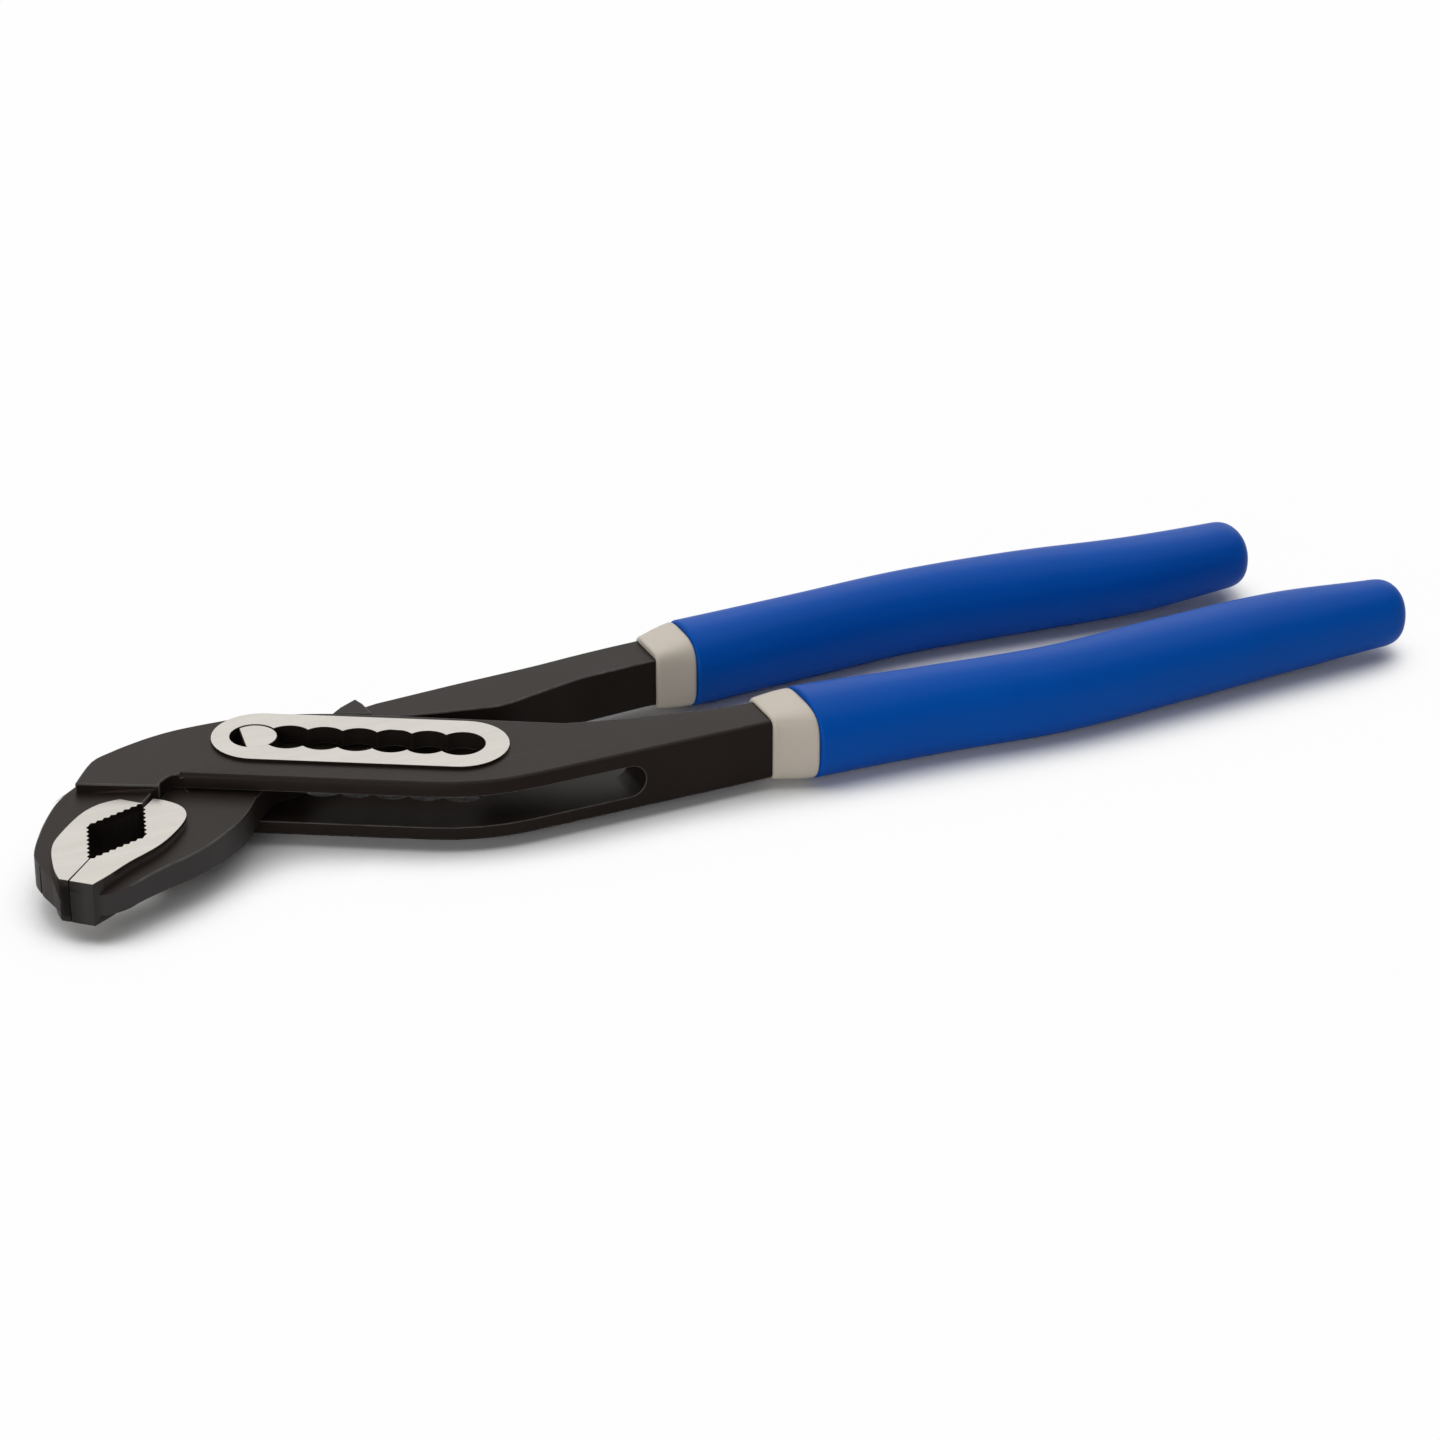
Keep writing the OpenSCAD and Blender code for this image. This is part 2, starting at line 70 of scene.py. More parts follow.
# The toothed mouth is a diamond on the seam, given from the seam's foot beside the pin
SEAM_FOOT = Vector((-6.19, 6.19, 0))
MOUTH_MIDDLE = 33.3
MOUTH_HALF_LENGTH = 10.6
MOUTH_HALF_WIDTH = 6.0


def in_mouth(q):
    """Whether a point lies in the toothed mouth, where edges are too small to round."""
    place = q - SEAM_FOOT
    lengthways = abs(toward_nose(place) - MOUTH_MIDDLE) / MOUTH_HALF_LENGTH
    return lengthways + abs(across_nose(place)) / MOUTH_HALF_WIDTH < 1.0


def apply_modifiers(obj, name):
    """Turns an object's modifiers into plain mesh."""
    bpy.context.view_layer.update()
    graph = bpy.context.evaluated_depsgraph_get()
    mesh = bpy.data.meshes.new_from_object(obj.evaluated_get(graph))
    mesh.name = name
    obj.modifiers.clear()
    obj.data = mesh


# A fold is a spike shorter than this that turns back by more than this, on a flat face with
# many corners
FOLD_LENGTH = 0.7 * MM
FOLD_TURN = math.radians(115)
FOLD_PASSES = 3
MANY_CORNERS = 9
NO_LENGTH = 1e-7


def fold_neighbour(corner):
    """The vertex that a folded corner of a face is welded to, or None where it has no fold."""
    before, tip, after = corner.link_loop_prev.vert, corner.vert, corner.link_loop_next.vert
    way_in, way_out = tip.co - before.co, after.co - tip.co
    shorter = min(way_in.length, way_out.length)
    if shorter < NO_LENGTH or way_in.angle(way_out, 0.0) < FOLD_TURN:
        return None
    if shorter >= FOLD_LENGTH:
        return None
    return before if way_in.length < way_out.length else after


def close_folds(obj):
    """Welds the small back-turning spikes that rounding leaves at the corners of a flat."""
    bm = bmesh.new()
    bm.from_mesh(obj.data)
    for _ in range(FOLD_PASSES):
        welds = {}
        for flat in bm.faces:
            if len(flat.verts) < MANY_CORNERS:
                continue
            for corner in flat.loops:
                near = fold_neighbour(corner)
                if near is None or near in welds or corner.vert in welds.values():
                    continue
                welds[corner.vert] = near
        if not welds:
            break
        bmesh.ops.weld_verts(bm, targetmap=welds)
        bmesh.ops.dissolve_degenerate(bm, dist=NO_LENGTH, edges=bm.edges)
    bm.to_mesh(obj.data)
    bm.free()


WIDEST_ROUND = 0.6
ROUND_STEPS = 3
SAME_PLACE = 0.002 * MM
SAME_FLAT = math.radians(0.6)
SHARP_EDGE = math.radians(50)
SHARP_SHADING = math.radians(52)
FLAT_FACE_WEIGHT = 80

# Until the rim attribute is written, a face's material slot says whether rounding made it
PLAIN, ROUNDED = 0, 1


def forged(node_name, name, rounding):
    """A copy of a CAD node whose sharp edges are rounded by rounding(edge) millimetres."""
    bm = bmesh.new()
    bm.from_mesh(frame["nodes"][node_name].data)
    bmesh.ops.remove_doubles(bm, verts=bm.verts, dist=SAME_PLACE)
    bmesh.ops.dissolve_degenerate(bm, dist=SAME_PLACE, edges=bm.edges)
    bmesh.ops.dissolve_limit(bm, angle_limit=SAME_FLAT, verts=bm.verts, edges=bm.edges)
    bmesh.ops.recalc_face_normals(bm, faces=bm.faces)
    round_share = bm.edges.layers.float.new("bevel_weight_edge")
    for edge in bm.edges:
        if len(edge.link_faces) == 2 and edge.calc_face_angle(0) >= SHARP_EDGE:
            edge[round_share] = min(rounding(edge) / WIDEST_ROUND, 1.0)
    mesh = bpy.data.meshes.new(name)
    bm.to_mesh(mesh)
    bm.free()
    obj = bpy.data.objects.new(name, mesh)
    bpy.context.scene.collection.objects.link(obj)
    for _ in (PLAIN, ROUNDED):
        mesh.materials.append(None)
    for face in mesh.polygons:
        face.material_index = PLAIN
        face.use_smooth = True
    bevel = obj.modifiers.new("rounded edges", "BEVEL")
    bevel.limit_method = "WEIGHT"
    bevel.width = WIDEST_ROUND * MM
    bevel.segments = ROUND_STEPS
    bevel.use_clamp_overlap = False
    bevel.material = ROUNDED
    apply_modifiers(obj, name)
    close_folds(obj)
    rim = obj.data.attributes.new("rim", "FLOAT", "FACE")
    for face in obj.data.polygons:
        rim.data[face.index].value = float(face.material_index == ROUNDED)
    bpy.context.view_layer.update()
    obj.data.set_sharp_from_angle(angle=SHARP_SHADING)
    soft = obj.modifiers.new("flat faces stay flat", "WEIGHTED_NORMAL")
    soft.keep_sharp = True
    soft.weight = FLAT_FACE_WEIGHT
    apply_modifiers(obj, name)
    return obj


NUMBER, VECTOR = "NodeSocketFloat", "NodeSocketVector"


def shader_group(name, inputs, outputs):
    """A node group with named sockets, and the nodes that give its inputs and take its outputs."""
    tree = bpy.data.node_groups.new(name, "ShaderNodeTree")
    for label, kind, value in inputs:
        socket = tree.interface.new_socket(label, in_out="INPUT", socket_type=kind)
        socket.default_value = value
    for label, kind in outputs:
        tree.interface.new_socket(label, in_out="OUTPUT", socket_type=kind)
    return tree, tree.nodes.new("NodeGroupInput"), tree.nodes.new("NodeGroupOutput")


def add_node(tree, kind, settings=None, **values):
    """A node with its settings, and plain values on its named sockets."""
    new = tree.nodes.new(kind)
    for label, value in (settings or {}).items():
        setattr(new, label, value)
    for label, value in values.items():
        new.inputs[label.replace("_", " ")].default_value = value
    return new


def calculate(tree, operation, first, second=None):
    """The result of a Math node on one or two sockets or numbers."""
    step = tree.nodes.new("ShaderNodeMath")
    step.operation = operation
    for i, term in enumerate((first, second)):
        if term is None:
            continue
        if isinstance(term, (int, float)):
            step.inputs[i].default_value = term
        else:
            tree.links.new(term, step.inputs[i])
    return step.outputs[0]


def mix_colours(tree, mask, first, second):
    """The first colour where the mask is 0 and the second where it is 1, as a socket."""
    mix = tree.nodes.new("ShaderNodeMix")
    mix.data_type = "RGBA"
    # The node's colour sockets share their names with its number sockets, so they go by place
    mask_input, first_input, second_input, colour_output = 0, 6, 7, 2
    tree.links.new(mask, mix.inputs[mask_input])
    for i, colour in ((first_input, first), (second_input, second)):
        if isinstance(colour, tuple):
            mix.inputs[i].default_value = (*colour, 1.0)
        else:
            tree.links.new(colour, mix.inputs[i])
    return mix.outputs[colour_output]


def skin_grain_group():
    """The grain of a forged, ground or moulded skin: a fine height and a slow mottle."""
    tree, given, result = shader_group(
        "Skin grain",
        [("Vector", VECTOR, (0, 0, 0)), ("Fine Scale", NUMBER, 1500.0),
         ("Slow Scale", NUMBER, 60.0)],
        [("Height", NUMBER), ("Mottle", NUMBER)])
    fine = add_node(tree, "ShaderNodeTexNoise", Detail=4.0, Roughness=0.6)
    slow = add_node(tree, "ShaderNodeTexNoise", Detail=3.0, Roughness=0.55, Distortion=0.4)
    for noise, scale, label in ((fine, "Fine Scale", "Height"), (slow, "Slow Scale", "Mottle")):
        tree.links.new(given.outputs["Vector"], noise.inputs["Vector"])
        tree.links.new(given.outputs[scale], noise.inputs["Scale"])
        tree.links.new(noise.outputs[0], result.inputs[label])
    return tree


def worn_and_highlit_edges_group():
    """Where a rounded edge is paler, partly rubbed bare and partly a painted highlight along it: the
    rim attribute, broken up into patches by noise.
    """
    tree, given, result = shader_group(
        "Worn and highlit edges",
        [("Vector", VECTOR, (0, 0, 0)), ("Rim", NUMBER, 0.0), ("Scale", NUMBER, 400.0),
         ("Amount", NUMBER, 0.5)],
        [("Mask", NUMBER)])
    patches = add_node(tree, "ShaderNodeTexNoise", Detail=5.0, Roughness=0.65)
    tree.links.new(given.outputs["Vector"], patches.inputs["Vector"])
    tree.links.new(given.outputs["Scale"], patches.inputs["Scale"])
    patch_strength = 1.6
    worn_and_highlit = patches.outputs[0]
    for share in (patch_strength, given.outputs["Amount"], given.outputs["Rim"]):
        worn_and_highlit = calculate(tree, "MULTIPLY", worn_and_highlit, share)
    tree.links.new(worn_and_highlit, result.inputs["Mask"])
    return tree


def painted_flank_light_group():
    """Painted light on the nose's near flank: upright faces past a start along the nose and one
    across it, made paler where light falls on them.
    """
    tree, given, result = shader_group(
        "Painted flank light",
        [("Vector", VECTOR, (0, 0, 0)), ("Normal", VECTOR, (0, 0, 1)),
         ("Along Start", NUMBER, 0.0), ("Across Start", NUMBER, 0.0),
         ("Fade", NUMBER, 0.01), ("Mid Height", NUMBER, 0.0),
         ("Half Height", NUMBER, 0.003), ("Nose End", NUMBER, 0.1)],
        [("Mask", NUMBER)])

    def reach(way):
        """How far along a direction the point lies."""
        product = add_node(tree, "ShaderNodeVectorMath", {"operation": "DOT_PRODUCT"})
        product.inputs[1].default_value = way
        tree.links.new(given.outputs["Vector"], product.inputs[0])
        return product.outputs["Value"]

    def ramp(distance, start):
        """0 before a start, rising to 1 over the fade."""
        past = calculate(tree, "SUBTRACT", distance, given.outputs[start])
        share = add_node(tree, "ShaderNodeClamp")
        tree.links.new(calculate(tree, "DIVIDE", past, given.outputs["Fade"]), share.inputs[0])
        return share.outputs[0]

    length_reach = reach((-DIAGONAL, -DIAGONAL, 0))
    side_reach = reach((DIAGONAL, -DIAGONAL, 0))
    faded = calculate(tree, "MULTIPLY", ramp(length_reach, "Along Start"),
                      ramp(side_reach, "Across Start"))
    facing = add_node(tree, "ShaderNodeSeparateXYZ")
    tree.links.new(given.outputs["Normal"], facing.inputs[0])
    upright = calculate(tree, "SUBTRACT", 1.0, calculate(tree, "ABSOLUTE", facing.outputs["Z"]))
    place = add_node(tree, "ShaderNodeSeparateXYZ")
    tree.links.new(given.outputs["Vector"], place.inputs[0])
    height = calculate(tree, "SUBTRACT", place.outputs["Z"], given.outputs["Mid Height"])
    from_mid = calculate(tree, "ABSOLUTE", height)
    on_flank = calculate(tree, "LESS_THAN", from_mid, given.outputs["Half Height"])
    at_end = calculate(tree, "GREATER_THAN", length_reach, given.outputs["Nose End"])
    either = calculate(tree, "MAXIMUM", on_flank, at_end)
    sides = calculate(tree, "MULTIPLY", upright, either)
    tree.links.new(calculate(tree, "MULTIPLY", faded, sides), result.inputs["Mask"])
    return tree


skin_grain = skin_grain_group()
edge_wear_and_highlight = worn_and_highlit_edges_group()
lit_flank_paint = painted_flank_light_group()


def new_material(name, **values):
    """A material with one Principled BSDF, and the Texture Coordinate node for its grain."""
    material = bpy.data.materials.new(name)
    material.use_nodes = True
    tree = material.node_tree
    tree.nodes.clear()
    out = tree.nodes.new("ShaderNodeOutputMaterial")
    skin = add_node(tree, "ShaderNodeBsdfPrincipled", **values)
    tree.links.new(skin.outputs[0], out.inputs[0])
    return material, tree, skin, tree.nodes.new("ShaderNodeTexCoord")


def use_group(tree, group, place, **values):
    """A shader group in a material, reading a place and plain values on its named sockets."""
    used = tree.nodes.new("ShaderNodeGroup")
    used.node_tree = group
    tree.links.new(place, used.inputs["Vector"])
    for label, value in values.items():
        used.inputs[label.replace("_", " ")].default_value = value
    return used


def vary_roughness(tree, skin, mask, least, spread):
    """Lets a mask from 0 to 1 raise the skin's roughness from its least by its spread."""
    extra = calculate(tree, "MULTIPLY", mask, spread)
    tree.links.new(calculate(tree, "ADD", extra, least), skin.inputs["Roughness"])


def bump(tree, skin, height, strength, distance):
    """Lets a height tilt the skin's normal."""
    tilt = add_node(tree, "ShaderNodeBump", Strength=strength, Distance=distance)
    tree.links.new(height, tilt.inputs["Height"])
    tree.links.new(tilt.outputs[0], skin.inputs["Normal"])


# Half the thickness of the nose's flank, between the chamfers to its ground faces
FLANK_HALF = 2.7


def black_phosphated_steel():
    """A matt black coat, with painted light that makes the nose's near flank paler, and rounded
    edges paler in patches, partly rubbed bare and partly a painted highlight.
    """
    dark_coat = (0.0082, 0.0056, 0.0047)
    pale_coat = (0.0155, 0.0107, 0.0088)
    painted_lit_coat = (0.042, 0.039, 0.039)
    bare_steel_and_highlight = (0.3, 0.29, 0.28)
    material, tree, skin, place = new_material(
        "black_phosphated_steel", Metallic=0.0, IOR=1.5,
        Specular_IOR_Level=0.08, Specular_Tint=(1, 0.87, 0.78, 1))
    place_on = place.outputs["Object"]
    grain = use_group(tree, skin_grain, place_on, Fine_Scale=2200.0, Slow_Scale=55.0)
    colour = mix_colours(tree, grain.outputs["Mottle"], dark_coat, pale_coat)
    # Painted light: the upright faces of the near flank and the nose's blunt end get a paler coat,
    # which stands in for the light that falls on them from the front.
    flank = use_group(tree, lit_flank_paint, place_on,
                      Along_Start=toward_nose(hinge) + 15 * MM,
                      Across_Start=across_nose(hinge) - 13 * MM, Fade=11 * MM,
                      Mid_Height=hinge.z, Half_Height=FLANK_HALF * MM,
                      Nose_End=toward_nose(hinge) + 45.3 * MM)
    tree.links.new(place.outputs["Normal"], flank.inputs["Normal"])
    colour = mix_colours(tree, flank.outputs["Mask"], colour, painted_lit_coat)
    # The rounded edges get paler steel in patches. This is partly real wear and partly a painted
    # highlight along the edge.
    edges = use_group(tree, edge_wear_and_highlight, place_on, Scale=500.0, Amount=0.22)
    rim = add_node(tree, "ShaderNodeAttribute", {"attribute_name": "rim"})
    tree.links.new(rim.outputs["Fac"], edges.inputs["Rim"])
    colour = mix_colours(tree, edges.outputs["Mask"], colour, bare_steel_and_highlight)
    tree.links.new(colour, skin.inputs["Base Color"])
    vary_roughness(tree, skin, grain.outputs["Mottle"], least=0.36, spread=0.12)
    bump(tree, skin, grain.outputs["Height"], strength=0.12, distance=0.12 * MM)
    return material


# The row of notches runs back from the pin at this angle
ROW_ANGLE = math.radians(29.6)


def bright_ground_steel():
    """Bare steel with the fine lines of the grinding wheel, which ran along the row."""
    dark_steel = (0.27, 0.254, 0.232)
    pale_steel = (0.332, 0.313, 0.288)
    material, tree, skin, place = new_material("ground_steel", Metallic=1.0)
    lines = add_node(tree, "ShaderNodeMapping", {"vector_type": "POINT"},
                     Rotation=(0, 0, ROW_ANGLE), Scale=(0.06, 1.0, 1.0))
    tree.links.new(place.outputs["Object"], lines.inputs["Vector"])
    grain = use_group(tree, skin_grain, lines.outputs[0], Fine_Scale=4200.0, Slow_Scale=500.0)
    colour = mix_colours(tree, grain.outputs["Mottle"], dark_steel, pale_steel)
    tree.links.new(colour, skin.inputs["Base Color"])
    vary_roughness(tree, skin, grain.outputs["Height"], least=0.27, spread=0.16)
    bump(tree, skin, grain.outputs["Height"], strength=0.18, distance=0.08 * MM)
    return material


black_steel = black_phosphated_steel()
ground_steel = bright_ground_steel()


def finish_forging(obj, node_name, body, ground_at):
    """Black all over, bright on the ground flats, and shown in place of its CAD node."""
    obj.data.materials.clear()
    obj.data.materials.append(black_steel)
    obj.data.materials.append(ground_steel)
    for face in obj.data.polygons:
        face.material_index = int(ground_at(from_pin(face.center), face.normal))
    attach(obj, body)
    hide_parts(node_name)


# Half thicknesses, from the mid plane to the faces of the box, the ring and the nose
BOX_HALF = 5.4
RING_HALF = 5.9
NOSE_FACE_HALF = 3.8

# The window's edges lie nearer to the mid plane than this, and the ring's lie this far
# outside the box
WINDOW_REACH = 3.0
RING_MARGIN = 0.2

# The nose's ground faces lie before this x, and its blunt end is this far along it and at
# least a margin inside those faces
NOSE_START = -5
NOSE_END = 45.5
NOSE_END_MARGIN = 0.1

# The front handle's collar starts this far behind the pin. Steel edges stay sharp from half
# a millimetre before it.
OUTER_REACH = 80.0
COLLAR_EDGE = 0.5

# The notches reach this far from their row's middle line, between these x
ROW_HALF = 4.6
ROW_FRONT, ROW_BACK = -5, 36
UPRIGHT_LENGTH = 1

# Radii of the rounded edges
RING_ROUND = 0.06
FACE_RIM_ROUND = 0.08
WINDOW_ROUND = 0.15
OUTER_ROUND = 0.3

# A place counts as on a face within these distances of it, and a face as level above this
# share of its normal that points up or down
RIM_NEARNESS = 0.05
NOSE_FACE_NEARNESS = 0.02
LEVEL_SHARE = 0.9


def at_nose_end(q):
    """Whether an edge lies on the blunt end of the nose, where the ground faces run out flush."""
    return toward_nose(q) > NOSE_END and abs(q.z) < NOSE_FACE_HALF - NOSE_END_MARGIN


def on_face_rim(a, b):
    """Whether an edge goes round one of the nose's ground faces."""
    return all(abs(abs(q.z) - NOSE_FACE_HALF) < RIM_NEARNESS and q.x < NOSE_START
               for q in (a, b))


def on_nose_face(c):
    """Whether a face's middle lies on one of the nose's ground faces."""
    return abs(abs(c.z) - NOSE_FACE_HALF) < NOSE_FACE_NEARNESS and c.x < NOSE_START


def faces_up_or_down(normal):
    """Whether a face lies flat enough to have met the grinding wheel."""
    return abs(normal.z) > LEVEL_SHARE


def outer_rounding(edge):
    """The radius that shows on an edge of the outer lever; 0 leaves it sharp."""
    a, b = (from_pin(v.co) for v in edge.verts)
    mid = (a + b) / 2
    from_row = abs(mid.x * math.sin(ROW_ANGLE) + mid.y * math.cos(ROW_ANGLE))
    upright = abs(b.z - a.z) > UPRIGHT_LENGTH
    if from_row < ROW_HALF and ROW_FRONT < mid.x < ROW_BACK and upright:
        return 0.0
    if in_mouth(mid) or not edge.is_convex:
        return 0.0
    if mid.x > OUTER_REACH - COLLAR_EDGE or at_nose_end(mid):
        return 0.0
    if abs(mid.z) > BOX_HALF + RING_MARGIN:
        return RING_ROUND
    if on_face_rim(a, b):
        return FACE_RIM_ROUND
    return WINDOW_ROUND if abs(mid.z) < WINDOW_REACH else OUTER_ROUND


def outer_ground(centre, normal):
    """Whether a face of the outer lever is ground bright."""
    on_ring = abs(abs(centre.z) - RING_HALF) < RIM_NEARNESS
    return (on_ring or on_nose_face(centre)) and faces_up_or_down(normal)


outer_lever = forged("outer_lever", "outer_lever_forging", outer_rounding)
finish_forging(outer_lever, "outer_lever", "outer", outer_ground)


# Inner lever: the second forging, with the near half of the nose, the thin tongue that runs
# through the box on the pin, the triangular stop behind it and the rear handle.
INNER_REACH = 72.5
PIN_BORE_REACH = 4.6
TONGUE_FRONT = -12
TONGUE_ROUND = 0.1
INNER_ROUND = 0.28


def inner_rounding(edge):
    """The radius that shows on an edge of the inner lever; 0 leaves it sharp."""
    a, b = (from_pin(v.co) for v in edge.verts)
    mid = (a + b) / 2
    if in_mouth(mid) or not edge.is_convex:
        return 0.0
    if mid.x > INNER_REACH - COLLAR_EDGE or at_nose_end(mid):
        return 0.0
    if on_face_rim(a, b):
        return FACE_RIM_ROUND
    on_tongue = abs(mid.z) < FLANK_HALF and mid.x > TONGUE_FRONT
    return TONGUE_ROUND if mid.length < PIN_BORE_REACH or on_tongue else INNER_ROUND


def inner_ground(centre, normal):
    """Whether a face of the inner lever is ground bright."""
    return on_nose_face(centre) and faces_up_or_down(normal)


inner_lever = forged("inner_lever", "inner_lever_forging", inner_rounding)
finish_forging(inner_lever, "inner_lever", "inner", inner_ground)

# Joint pin: a hardened steel stud with a flat on each end, ground flush just under the ring.
# It is keyed to the inner lever's tongue and stands in one of the seven notches.
PIN_EDGE_ROUND = 0.22
PIN_END_SHARE = 0.95
joint_pin = forged("joint_pin", "joint_pin_stud", lambda edge: PIN_EDGE_ROUND)
joint_pin.data.materials.clear()
joint_pin.data.materials.append(ground_steel)
joint_pin.data.materials.append(black_steel)
for face in joint_pin.data.polygons:
    face.material_index = int(abs(face.normal.z) < PIN_END_SHARE)
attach(joint_pin, "pin")
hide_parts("joint_pin")


# Outer collar: a pale grey plastic guard, moulded round the end of the steel handle. It is
# square at the steel and grows round and wider towards the dipped sleeve.
def section(x, y, half_w, half_h, squareness, corners):
    """A closed section across the handle, in millimetres from the pin; 2 makes an oval."""
    points = []
    for k in range(corners):
        turn = 2 * math.pi * (k + 0.5) / corners
        c, s = math.cos(turn), math.sin(turn)
        points.append((x, y + half_w * math.copysign(abs(c) ** (2 / squareness), c),
                       half_h * math.copysign(abs(s) ** (2 / squareness), s)))
    return points


def loft(name, rows, closed=False):
    """A skin over a run of sections, its ends met in points or joined to each other."""
    count = len(rows[0])
    verts = [hinge + Vector(p) * MM for row in rows for p in row]
    faces = []
    runs = len(rows) if closed else len(rows) - 1
    for i in range(runs):
        here, there = i * count, ((i + 1) % len(rows)) * count
        for k in range(count):
            m = (k + 1) % count
            faces.append((here + k, there + k, there + m, here + m))
    if not closed:
        for row, turn in ((0, 1), (len(rows) - 1, -1)):
            middle = sum((Vector(p) for p in rows[row]), Vector()) / count
            verts.append(hinge + middle * MM)
            for k in range(count):
                m = (k + 1) % count
                triangle = (row * count + k, row * count + m, len(verts) - 1)
                faces.append(triangle[::turn])
    mesh = bpy.data.meshes.new(name)
    mesh.from_pydata(verts, [], faces)
    bm = bmesh.new()
    bm.from_mesh(mesh)
    bmesh.ops.recalc_face_normals(bm, faces=bm.faces)
    bm.to_mesh(mesh)
    bm.free()
    for face in mesh.polygons:
        face.use_smooth = True
    obj = bpy.data.objects.new(name, mesh)
    bpy.context.scene.collection.objects.link(obj)
    return obj


COLLAR_CORNERS = 96
COLLAR_ROWS = 11
EDGE_ROWS = 4
FRONT_ROUND, BACK_ROUND = 0.8, 0.5
FRONT_INSET_SHARE, BACK_INSET_SHARE = 0.6, 0.9
FRONT_SQUARENESS, BACK_SQUARENESS = 5.5, 3.2

# The handle's full steel sits this deep in the collar, and its thinner tang runs on through
# a hole given by its half width, half height and squareness
COLLAR_SEAT = 1.6
SEAT_GAP = 0.06
SEAT_SQUARENESS = 24
TANG_HOLE = (3.3, 3.4, 14)


def collar(name, front, back, steel):
    """A guard moulding with its seat on the steel and its hole for the tang. front and back
    give the place along and across the handle, then the half width and half height."""
    x0, y0, w0, h0 = front
    x1, y1, w1, h1 = back
    steel_y, steel_w, steel_h = steel
    rows = []
    for k in range(EDGE_ROWS + 1):
        turn = math.radians(90 * k / EDGE_ROWS)
        inset = FRONT_ROUND * (1 - math.cos(turn)) * FRONT_INSET_SHARE
        rows.append(section(x0 + FRONT_ROUND * (1 - math.sin(turn)), y0, w0 - inset, h0 - inset,
                            FRONT_SQUARENESS, COLLAR_CORNERS))
    rows.reverse()
    for k in range(1, COLLAR_ROWS + 1):
        t = k / COLLAR_ROWS
        x = x0 + FRONT_ROUND + (x1 - x0 - FRONT_ROUND - BACK_ROUND) * t
        rows.append(section(x, y0 + (y1 - y0) * t, w0 + (w1 - w0) * t, h0 + (h1 - h0) * t,
                            FRONT_SQUARENESS + (BACK_SQUARENESS - FRONT_SQUARENESS) * t,
                            COLLAR_CORNERS))
    for k in range(1, EDGE_ROWS + 1):
        turn = math.radians(90 * k / EDGE_ROWS)
        inset = BACK_ROUND * (1 - math.cos(turn)) * BACK_INSET_SHARE
        rows.append(section(x1 - BACK_ROUND + BACK_ROUND * math.sin(turn), y1, w1 - inset,
                            h1 - inset, BACK_SQUARENESS, COLLAR_CORNERS))
    seat = (steel_w + SEAT_GAP, steel_h + SEAT_GAP, SEAT_SQUARENESS)
    rows.append(section(x1, y1, *TANG_HOLE, COLLAR_CORNERS))
    rows.append(section(x0 + COLLAR_SEAT, steel_y, *TANG_HOLE, COLLAR_CORNERS))
    rows.append(section(x0 + COLLAR_SEAT, steel_y, *seat, COLLAR_CORNERS))
    rows.append(section(x0, steel_y, *seat, COLLAR_CORNERS))
    obj = loft(name, rows, closed=True)
    obj.data.set_sharp_from_angle(angle=SHARP_EDGE)
    return obj


def moulded_plastic(name, dark, pale, grain_scales, roughness, bump_size, **values):
    """A moulded or dipped plastic whose colour and roughness follow one slow mottle."""
    material, tree, skin, place = new_material(name, Metallic=0.0, IOR=1.5, **values)
    fine_scale, slow_scale = grain_scales
    grain = use_group(tree, skin_grain, place.outputs["Object"],
                      Fine_Scale=fine_scale, Slow_Scale=slow_scale)
    colour = mix_colours(tree, grain.outputs["Mottle"], dark, pale)
    tree.links.new(colour, skin.inputs["Base Color"])
    vary_roughness(tree, skin, grain.outputs["Mottle"], *roughness)
    bump(tree, skin, grain.outputs["Height"], *bump_size)
    return material


collar_plastic = moulded_plastic(
    "pale_collar_plastic", dark=(0.435, 0.386, 0.322), pale=(0.495, 0.443, 0.375),
    grain_scales=(3000.0, 90.0), roughness=(0.42, 0.1), bump_size=(0.08, 0.1 * MM))

# The grips' middle lines, half widths and half heights at six even places, front to end
OUTER_COLLAR = 7.2
OUTER_DROP = 31
GRIP_HALF_W, GRIP_HALF_H = 8.3, 7.5
OUTER_MID = [OUTER_DROP * s for s in (-0.877, -0.942, -1.011, -0.975, -0.94, -0.972)]
OUTER_WIDE = [GRIP_HALF_W * s for s in (1, 0.859, 0.852, 0.893, 0.867, 0.625)]
OUTER_HIGH = [GRIP_HALF_H * s for s in (1, 0.99, 0.985, 0.96, 0.9, 0.78)]
outer_collar = collar("outer_guard_collar",
                      front=(OUTER_REACH, -26.45, 5.35, 6.05),
                      back=(OUTER_REACH + OUTER_COLLAR, OUTER_MID[0], 7.5, 6.7),
                      steel=(-27.1, 3.9, 5.4))
outer_collar.data.materials.append(collar_plastic)
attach(outer_collar, "outer")
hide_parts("outer_collar")

